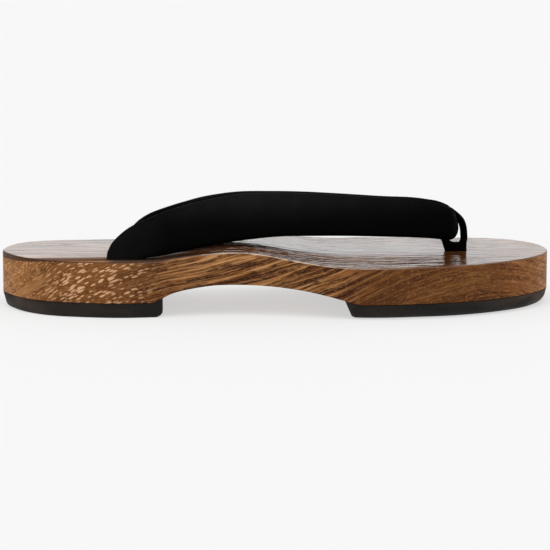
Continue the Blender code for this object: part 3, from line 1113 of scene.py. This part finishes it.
@dataclass
class SolePads:
    """The two rubber pads, undercut towards the floor, with rounded lower edges and corners."""

    heel_length: float = 0.0780
    forefoot_start: float = 0.1665
    slant: float = 0.0030
    heel: PadSizes = PadSizes(0.0003, 0.0016, 0.0018, 0.0034, 0.0030)
    forefoot: PadSizes = PadSizes(0.0026, -0.0006, 0.0045, 0.0016, 0.0015)
    glue: float = 0.0001
    # How far round the upright corners the cuts go, and cuts across under the curved part of the wood
    corner_turn: float = 1.4
    cuts_across: int = 60
    steps: int = 10
    cuts: int = 6
    rubber: SoleRubber = field(default_factory=SoleRubber)

    def skin(self, sizes: PadSizes) -> Mesh:
        """The body that a pad is trimmed from, its lower edge rounded in rings.

        Args:
            sizes: the pad's insets and roundings.

        Returns:
            The bmesh, with its upper end at height 1.
        """
        rings = []
        for turn in np.linspace(0, math.pi / 2, self.cuts):
            height = sizes.edge * (1 - math.cos(turn))
            share = 1 - height / LAST.rubber
            inset = sizes.undercut * share + sizes.edge * (1 - math.sin(turn))
            outline = LAST.outline(self.steps, inset, sizes.tip_undercut * share)
            rings.append([Vector((*spot, height)) for spot in outline])
        rings.append([Vector((*spot, 1.0)) for spot in LAST.outline(self.steps)])
        return sweep(rings)

    def pad(self, sizes: PadSizes, point: Vector, normal: Vector) -> Mesh:
        """One pad, trimmed by a plane, with the trimmed end's corners rounded.

        Args:
            sizes: the pad's insets and roundings.
            point: a point of the plane.
            normal: the plane's normal, towards what is cut away.

        Returns:
            The pad's bmesh.
        """
        edge, corner, end = sizes.edge, sizes.corner, sizes.end_edge
        bm = self.skin(sizes)
        back = math.copysign(corner, normal.x)
        near = [point.x - back * (1 - math.sin(turn)) for turn in np.linspace(0, self.corner_turn, self.cuts)]
        for x in [*Deck(cuts=self.cuts_across).stations(), *near]:
            slice_at(bm, (x, 0, 0), (1, 0, 0))
        for vert in bm.verts:
            if vert.co.z > edge + 10 * CLOSE:
                vert.co.z = LAST.under(vert.co.x) - self.glue
        bmesh.ops.remove_doubles(bm, verts=bm.verts, dist=CLOSE)
        bmesh.ops.holes_fill(bm, edges=slice_at(bm, point, normal, clear_outer=True), sides=0)
        for turn in np.linspace(0, math.pi / 2, self.cuts)[1:]:
            slice_at(bm, (0, 0, end * (1 - math.cos(turn))), (0, 0, 1))
        for vert in bm.verts:
            depth = corner + (vert.co - point).dot(normal)
            if depth > 0:
                side = math.copysign(1.0, vert.co.y - AXIS_Y)
                vert.co.y -= side * (corner - math.sqrt(max(0.0, corner**2 - depth**2)))
                lift = max(0.0, end - vert.co.z)
                pull = end - math.sqrt(max(0.0, end**2 - lift**2))
                vert.co.x -= math.copysign(pull, normal.x) * depth / corner
        bmesh.ops.recalc_face_normals(bm, faces=bm.faces)
        return bm

    def build(self) -> list[Object]:
        """Builds both pads and returns their objects."""
        rubber = self.rubber.material()
        front = Vector((self.heel_length - LAST.length / 2, 0, 0))
        back = Vector((self.forefoot_start - LAST.length / 2, 0, LAST.rubber))
        plane = Vector((-LAST.rubber, 0, -self.slant)).normalized()
        pads = [self.pad(self.heel, front, Vector((1, 0, 0))), self.pad(self.forefoot, back, plane)]
        pads = [new_object(name, bm, rubber) for name, bm in zip(("heel_rubber", "forefoot_rubber"), pads)]
        for piece, node in zip(pads, ("heel_pad", "forefoot_pad")):
            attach(piece, BODY)
            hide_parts(node)
        return pads


@dataclass(frozen=True)
class Crease:
    """A soft trough or ridge across the strap."""

    side: Side
    x_mm: float
    width_mm: float
    depth_mm: float
    height: float
    spread: float
    lean_mm: float = 0.0

    def at(self, side: Side, x_mm: float, across: float) -> float:
        """How deep it is at a point, in metres.

        Args:
            side: the half of the strap.
            x_mm: place along the sandal.
            across: -1 at the lower edge to 1 at the rim.

        Returns:
            The depth, negative for a ridge.
        """
        if side is not self.side:
            return 0.0
        along = (x_mm - self.x_mm - self.lean_mm * across) / self.width_mm
        return self.depth_mm * MM * math.exp(-along * along - ((across - self.height) / self.spread) ** 2)


@dataclass
class ThongStrap:
    """The padded strap: one band from slot to slot, folded at the nose, with a welt along its rim."""

    landing_place: float = 0.0605
    spread: float = 0.0255
    inner_lead: float = 0.0105
    nose_setback: float = 0.0464
    crest: float = 0.0303
    thickness: float = 0.0060
    foot_width: float = 0.0191
    foot_thickness: float = 0.0036
    seat: float = 0.0120
    lift: float = 0.0005
    welt_depth: float = 0.00022
    welt_place: float = 0.0015
    welt_width: float = 0.00045
    steps: int = 8
    points: int = 56
    power: float = 2.3
    leather: StrapLeather = field(default_factory=StrapLeather)
    # Half of the strap, a row for each section, in shares of the sizes above
    band: tuple[tuple[float, ...], ...] = (
        # low place, low offset, low height, rim place, rim offset, rim height, pad, lead
        (0.071, 1.000, 0.027, -0.056, 0.945, 0.112, 0.66, 1.00),
        (0.089, 0.980, 0.026, -0.042, 0.925, 0.254, 0.74, 1.00),
        (0.110, 0.958, 0.026, -0.018, 0.880, 0.384, 0.82, 1.00),
        (0.137, 0.937, 0.028, 0.015, 0.785, 0.500, 0.90, 1.00),
        (0.173, 0.896, 0.034, 0.067, 0.650, 0.612, 0.96, 0.95),
        (0.221, 0.833, 0.052, 0.133, 0.472, 0.722, 1.00, 0.75),
        (0.287, 0.750, 0.084, 0.224, 0.315, 0.832, 1.00, 0.35),
        (0.372, 0.667, 0.142, 0.333, 0.158, 0.918, 1.00, 0.10),
        (0.462, 0.604, 0.240, 0.442, 0.098, 0.930, 0.95, 0.00),
        (0.554, 0.540, 0.305, 0.545, 0.085, 0.918, 0.90, 0.00),
        (0.660, 0.470, 0.335, 0.663, 0.085, 0.880, 0.84, 0.00),
        (0.767, 0.400, 0.308, 0.776, 0.090, 0.838, 0.78, 0.00),
        (0.859, 0.350, 0.280, 0.869, 0.110, 0.812, 0.72, 0.00),
        (0.920, 0.320, 0.254, 0.932, 0.165, 0.760, 0.66, 0.00),
        (0.954, 0.300, 0.230, 0.953, 0.210, 0.731, 0.62, 0.00),
        (0.975, 0.272, 0.214, 0.972, 0.235, 0.690, 0.60, 0.00),
        (0.990, 0.215, 0.222, 0.988, 0.210, 0.635, 0.60, 0.00),
        (0.998, 0.120, 0.250, 0.998, 0.120, 0.505, 0.60, 0.00),
    )
    nose: tuple[float, ...] = (1.000, 0.000, 0.280, 1.000, 0.000, 0.420, 0.60, 0.00)
    creases: tuple[Crease, ...] = (
        Crease(Side.OUTER, -36.5, 1.6, 0.20, 0.72, 0.30),
        Crease(Side.OUTER, -31.5, 1.4, 0.16, 0.74, 0.26),
        Crease(Side.OUTER, -26.5, 1.8, 0.14, 0.70, 0.30),
        Crease(Side.OUTER, -69.0, 3.0, 0.30, -0.20, 0.60, 6.0),
        Crease(Side.OUTER, 74.0, 2.4, 0.25, 0.45, 0.45, 4.0),
        Crease(Side.OUTER, 80.0, 1.8, 0.30, 0.35, 0.50, 4.0),
        Crease(Side.OUTER, 10.0, 7.0, 0.18, 0.10, 0.60, 5.0),
        Crease(Side.OUTER, 42.0, 8.0, -0.16, 0.20, 0.60, 4.0),
        Crease(Side.INNER, -27.0, 1.6, 0.18, 0.72, 0.30),
        Crease(Side.INNER, -21.0, 1.6, 0.16, 0.70, 0.28),
        Crease(Side.INNER, -58.0, 3.0, 0.30, -0.20, 0.60, 6.0),
        Crease(Side.INNER, 18.0, 7.0, 0.18, 0.10, 0.60, 5.0),
        Crease(Side.INNER, 76.0, 2.2, 0.28, 0.40, 0.50, 4.0),
    )

    @property
    def landing_x(self) -> float:
        """X of the outer slot's middle."""
        return self.landing_place - LAST.length / 2

    @property
    def nose_x(self) -> float:
        """X of the fold's middle."""
        return LAST.length / 2 - self.nose_setback

    def landing(self, side: Side) -> Vector:
        """Middle of the slot on one side, on the wood."""
        x = self.landing_x + (self.inner_lead if side is Side.INNER else 0.0)
        return Vector((x, AXIS_Y + side.value * self.spread, LAST.top(x)))

    def foot_ring(self, side: Side, height: float, grow: float = 0.0) -> Ring:
        """Level section of the foot in its slot.

        Args:
            side: which foot.
            height: its height.
            grow: how much larger it is all round.

        Returns:
            The ring of points.
        """
        middle = self.landing(side)
        middle.z = height
        half_width, half_depth = self.foot_width / 2 + grow, self.foot_thickness / 2 + grow
        out = Vector((0, side.value, 0))
        return superellipse(middle, Vector((-1, 0, 0)), out, half_width, half_depth, self.points, self.power)

    def foot_rings(self, side: Side) -> list[Ring]:
        """The foot's rings from its end in the slot up to the wood.

        Args:
            side: which foot.

        Returns:
            The rings.
        """
        top = self.landing(side).z
        rings = [self.foot_ring(side, top - self.seat), self.foot_ring(side, top - self.seat / 2)]
        rings.append([Vector((p.x, p.y, LAST.top(p.x) + self.lift)) for p in self.foot_ring(side, top)])
        return rings

    def edges(self, row: tuple[float, ...], side: Side) -> tuple[float, ...]:
        """Lower edge, rim and thickness of one section.

        Args:
            row: a row of the table.
            side: which half of the strap.

        Returns:
            Seven numbers: two points and the thickness.
        """
        low_place, low_offset, low_height, rim_place, rim_offset, rim_height, pad, lead = row
        run = self.nose_x - self.landing_x
        shift = lead * self.inner_lead if side is Side.INNER else 0.0
        low_x = self.landing_x + low_place * run + shift
        rim_x = self.landing_x + rim_place * run + shift
        low_y = AXIS_Y + side.value * low_offset * self.spread
        rim_y = AXIS_Y + side.value * rim_offset * self.spread
        low_z = LAST.top(low_x) + low_height * self.crest
        rim_z = LAST.rubber + LAST.heel_wood + rim_height * self.crest
        return low_x, low_y, low_z, rim_x, rim_y, rim_z, pad * self.thickness

    def section(self, low: Vector, rim: Vector, along: Vector, thickness: float, side: Side, bare: float) -> Ring:
        """One padded section with its welt and creases.

        Args:
            low: its lower edge.
            rim: its rim.
            along: direction of the strap there.
            thickness: its thickness.
            side: which half of the strap.
            bare: 0 where it has its welt and creases in full, 1 where it has none.

        Returns:
            The ring of points.
        """
        wide = (rim - low).normalized()
        out = along.cross(wide).normalized()
        middle, half_width = (low + rim) / 2, (rim - low).length / 2
        ring = superellipse(middle, wide, out, half_width, thickness / 2, self.points, self.power)
        shaped = []
        for point in ring:
            across = (point - middle).dot(wide) / half_width
            outward = (point - middle).dot(out) / (thickness / 2)
            beside = ((1 - across) * half_width - self.welt_place) / self.welt_width
            dent = self.welt_depth * math.exp(-(beside**2))
            if outward > 0:
                dent += sum(crease.at(side, point.x / MM, across) for crease in self.creases)
            shaped.append(point - out * math.copysign(dent * (1 - bare), outward) * min(1.0, abs(outward) * 2))
        return shaped

    def rings(self) -> list[Ring]:
        """All rings of the strap, from the foot in the outer slot over the nose to the other foot."""
        rows = [self.edges(row, Side.OUTER) for row in self.band] + [self.edges(self.nose, Side.INNER)]
        rows += [self.edges(row, Side.INNER) for row in reversed(self.band)]
        table = through(rows, self.steps)
        points = [(Vector(row[:3]), Vector(row[3:6]), float(row[6])) for row in table]
        middles = [(low + rim) / 2 for low, rim, _ in points]
        rings = []
        for i, (low, rim, thickness) in enumerate(points):
            before = middles[i - 1] if i else self.landing(Side.OUTER)
            after = middles[i + 1] if i + 1 < len(points) else self.landing(Side.INNER)
            side = Side.OUTER if i < len(points) // 2 else Side.INNER
            ends = min(i, len(points) - 1 - i) / self.steps
            bare = max(0.0, 1 - ends) + max(0.0, 1 - abs(i - len(points) // 2) / (2 * self.steps))
            rings.append(self.section(low, rim, after - before, thickness, side, min(1.0, bare)))
        return self.foot_rings(Side.OUTER) + rings + self.foot_rings(Side.INNER)[::-1]

    def slots(self, clearance: float = 0.0003) -> list[Object]:
        """Cutters for the two slots in the deck.

        Args:
            clearance: room round each foot.

        Returns:
            The cutters.
        """
        made = []
        for side in Side:
            top = self.landing(side).z
            levels = (top - self.seat - clearance, top + LAST.crest_wood)
            rings = [self.foot_ring(side, z, clearance) for z in levels]
            made.append(new_object(f"slot{side.value}", sweep(rings)))
        return made

    def build(self) -> Object:
        """Builds the strap."""
        strap = new_object("thong_strap", sweep(self.rings()), self.leather.material())
        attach(strap, BODY)
        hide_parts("strap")
        return strap


@dataclass
class ToeLoop:
    """The soft loop round the strap's fold, and its post in the deck."""

    thickness: float = 0.0035
    width: float = 0.0058
    clearance: float = 0.0007
    post_length: float = 0.0108
    post_height: float = 0.0042
    flare: float = 0.0014
    lead: float = 0.0007
    seat: float = 0.0120
    steps: int = 8
    points: int = 28
    power: float = 2.3
    fabric: LoopFabric = field(default_factory=LoopFabric)
    # The ring from the side, round the fold's middle and up from its lower edge, in shares of its half sizes
    ring: Pairs = (
        (1.08, -0.36), (1.08, 0.04), (1.00, 0.39), (0.82, 0.68), (0.56, 0.87), (0.21, 1.04), (-0.19, 1.20),
        (-0.61, 1.35), (-0.96, 1.32), (-1.11, 1.08), (-1.11, 0.73), (-1.11, 0.33), (-1.20, -0.07), (-1.11, -0.38),
        (-0.64, -0.60), (0.09, -0.71), (0.78, -0.65),
    )

    def post_ring(self, strap: ThongStrap, height: float, flare: float = 0.0, grow: float = 0.0) -> Ring:
        """Level section of the post.

        Args:
            strap: the strap that it holds.
            height: its height.
            flare: how far its rear side is moved back.
            grow: how much larger it is all round.

        Returns:
            The ring of points.
        """
        middle = Vector((strap.nose_x + self.lead - flare / 2, AXIS_Y, height))
        half_length, half_width = (self.post_length + flare) / 2 + grow, self.width / 2 + grow
        forward, across = Vector((1, 0, 0)), Vector((0, 1, 0))
        return superellipse(middle, forward, across, half_length, half_width, self.points, self.power)

    def rings(self, strap: ThongStrap) -> list[Ring]:
        """Rings of the loop round the strap's fold.

        Args:
            strap: the strap that it holds.

        Returns:
            The rings, which close on themselves.
        """
        low_x, _, low_z, _, _, rim_z, thickness = strap.edges(strap.nose, Side.INNER)
        half_length = thickness / 2 + self.clearance + self.thickness / 2
        height = rim_z - low_z + self.clearance + self.thickness / 2
        route = [
            Vector((low_x + forward * half_length, AXIS_Y, low_z + up * height))
            for forward, up in through(self.ring, self.steps, closed=True)
        ]
        made = []
        across, half = Vector((0, 1, 0)), (self.width / 2, self.thickness / 2)
        for i, middle in enumerate(route):
            along = route[(i + 1) % len(route)] - route[i - 1]
            out = Vector((along.z, 0, -along.x)).normalized()
            made.append(superellipse(middle, across, out, *half, self.points, self.power))
        return made

    def levels(self) -> Pairs:
        """Heights of the post's sections and their flare."""
        deck = LAST.rubber + LAST.forefoot_wood
        return (
            (deck - self.seat, 0.0),
            (deck, 0.0),
            (deck + self.post_height / 2, self.flare / 2),
            (deck + self.post_height, self.flare),
        )

    def hole(self, strap: ThongStrap, clearance: float = 0.0003) -> Object:
        """Cutter for the hole in the deck.

        Args:
            strap: the strap that the loop holds.
            clearance: room round the post.

        Returns:
            The cutter.
        """
        deck = LAST.rubber + LAST.forefoot_wood
        heights = (deck - self.seat - clearance, deck + LAST.forefoot_wood)
        return new_object("toe_hole", sweep([self.post_ring(strap, z, grow=clearance) for z in heights]))

    def build(self, strap: ThongStrap) -> list[Object]:
        """Builds the loop and its post.

        Args:
            strap: the strap that it holds.

        Returns:
            Both objects.
        """
        fabric = self.fabric.material()
        loop = new_object("toe_loop_ring", sweep(self.rings(strap), closed=True), fabric)
        rings = [self.post_ring(strap, height, flare) for height, flare in self.levels()]
        post = new_object("toe_loop_post", sweep(rings), fabric)
        for piece in (loop, post):
            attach(piece, BODY)
            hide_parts("toe_loop")
        return [loop, post]


@dataclass
class Studio:
    """Plain white floor, soft light from all round and above, and the photo's camera."""

    tilt: float = math.radians(10.4)
    turn: float = math.radians(3.5)
    distance: float = 1.5
    pixel: float = 0.4956 * MM
    frame_pixels: int = 550
    sensor: float = 36.0
    aim: Triple = (-0.00062, 0.0, 0.0142)
    floor_size: float = 6.0
    horizon: float = 1.08
    zenith: float = 0.35
    up_reach: tuple[float, float] = (0.30, 0.75)
    ends: float = 1.0
    end_reach: tuple[float, float] = (0.55, 0.95)
    sun: float = 1.5
    sun_spread: float = math.radians(50)
    sun_way: Triple = (0.10, 0.45, -1.0)

    def camera(self) -> None:
        """Stands the camera where the photo was taken from."""
        level = math.cos(self.tilt)
        forward = Vector((math.sin(self.turn) * level, math.cos(self.turn) * level, -math.sin(self.tilt)))
        eye = bpy.data.objects.new("photo_camera", bpy.data.cameras.new("photo_camera"))
        bpy.context.scene.collection.objects.link(eye)
        eye.location = Vector(self.aim) + Vector((0, AXIS_Y, 0)) - forward * self.distance
        eye.rotation_euler = forward.to_track_quat("-Z", "Y").to_euler()
        eye.data.sensor_width = self.sensor
        eye.data.sensor_fit = "HORIZONTAL"
        eye.data.lens = self.sensor * self.distance / (self.pixel * self.frame_pixels)
        eye.data.clip_start = 0.05
        bpy.context.scene.camera = eye

    def floor(self) -> None:
        """Lays the white floor."""
        bm = bmesh.new()
        bmesh.ops.create_grid(bm, x_segments=2, y_segments=2, size=self.floor_size)
        new_object("floor", bm, StudioFloor().material())

    def sky(self) -> None:
        """Lights the scene from all round: bright near the horizon and at the two ends, dimmer above."""
        world = bpy.data.worlds.new("studio")
        bpy.context.scene.world = world
        world.use_nodes = True
        nodes, links = world.node_tree.nodes, world.node_tree.links
        parts = nodes.new("ShaderNodeSeparateXYZ")
        links.new(nodes.new("ShaderNodeTexCoord").outputs["Generated"], parts.inputs[0])
        side, total = nodes.new("ShaderNodeMath"), nodes.new("ShaderNodeMath")
        side.operation = "ABSOLUTE"
        links.new(parts.outputs["X"], side.inputs[0])
        rows = ((parts.outputs["Z"], self.up_reach, self.horizon, self.zenith),)
        rows += ((side.outputs[0], self.end_reach, 0.0, self.ends),)
        for socket, (value, reach, start, end) in zip(total.inputs, rows):
            step = nodes.new("ShaderNodeMapRange")
            step.interpolation_type = "SMOOTHSTEP"
            for key, item in zip(MAP_ENDS, (*reach, start, end)):
                step.inputs[key].default_value = item
            links.new(value, step.inputs["Value"])
            links.new(step.outputs[0], socket)
        nodes["Background"].inputs["Color"].default_value = (1.0, 1.0, 1.0, 1.0)
        links.new(total.outputs[0], nodes["Background"].inputs["Strength"])

    def lamp(self) -> None:
        """Adds the broad soft light from above and in front."""
        light = bpy.data.lights.new("soft_key", "SUN")
        light.energy = self.sun
        light.angle = self.sun_spread
        lamp = bpy.data.objects.new("soft_key", light)
        lamp.rotation_euler = Vector(self.sun_way).to_track_quat("-Z", "Y").to_euler()
        bpy.context.scene.collection.objects.link(lamp)

    def build(self) -> None:
        """Builds floor, light and camera."""
        self.camera()
        self.floor()
        self.sky()
        self.lamp()
        bpy.context.scene.view_settings.view_transform = "Standard"


def main() -> None:
    """Builds the studio and the sandal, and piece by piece."""
    logging.basicConfig(level=logging.INFO, format="%(name)s: %(message)s")
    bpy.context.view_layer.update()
    Studio().build()
    strap, loop = ThongStrap(), ToeLoop()
    pieces = [Deck().build([*strap.slots(), loop.hole(strap)])]
    pieces += SolePads().build()
    pieces.append(strap.build())
    pieces += loop.build(strap)
    for piece in pieces:
        log.info("%s: %d faces", piece.name, len(piece.data.polygons))
    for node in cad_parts.values():
        log.info("%s stands for its solid", node.name)


if __name__ == "__main__":
    main()
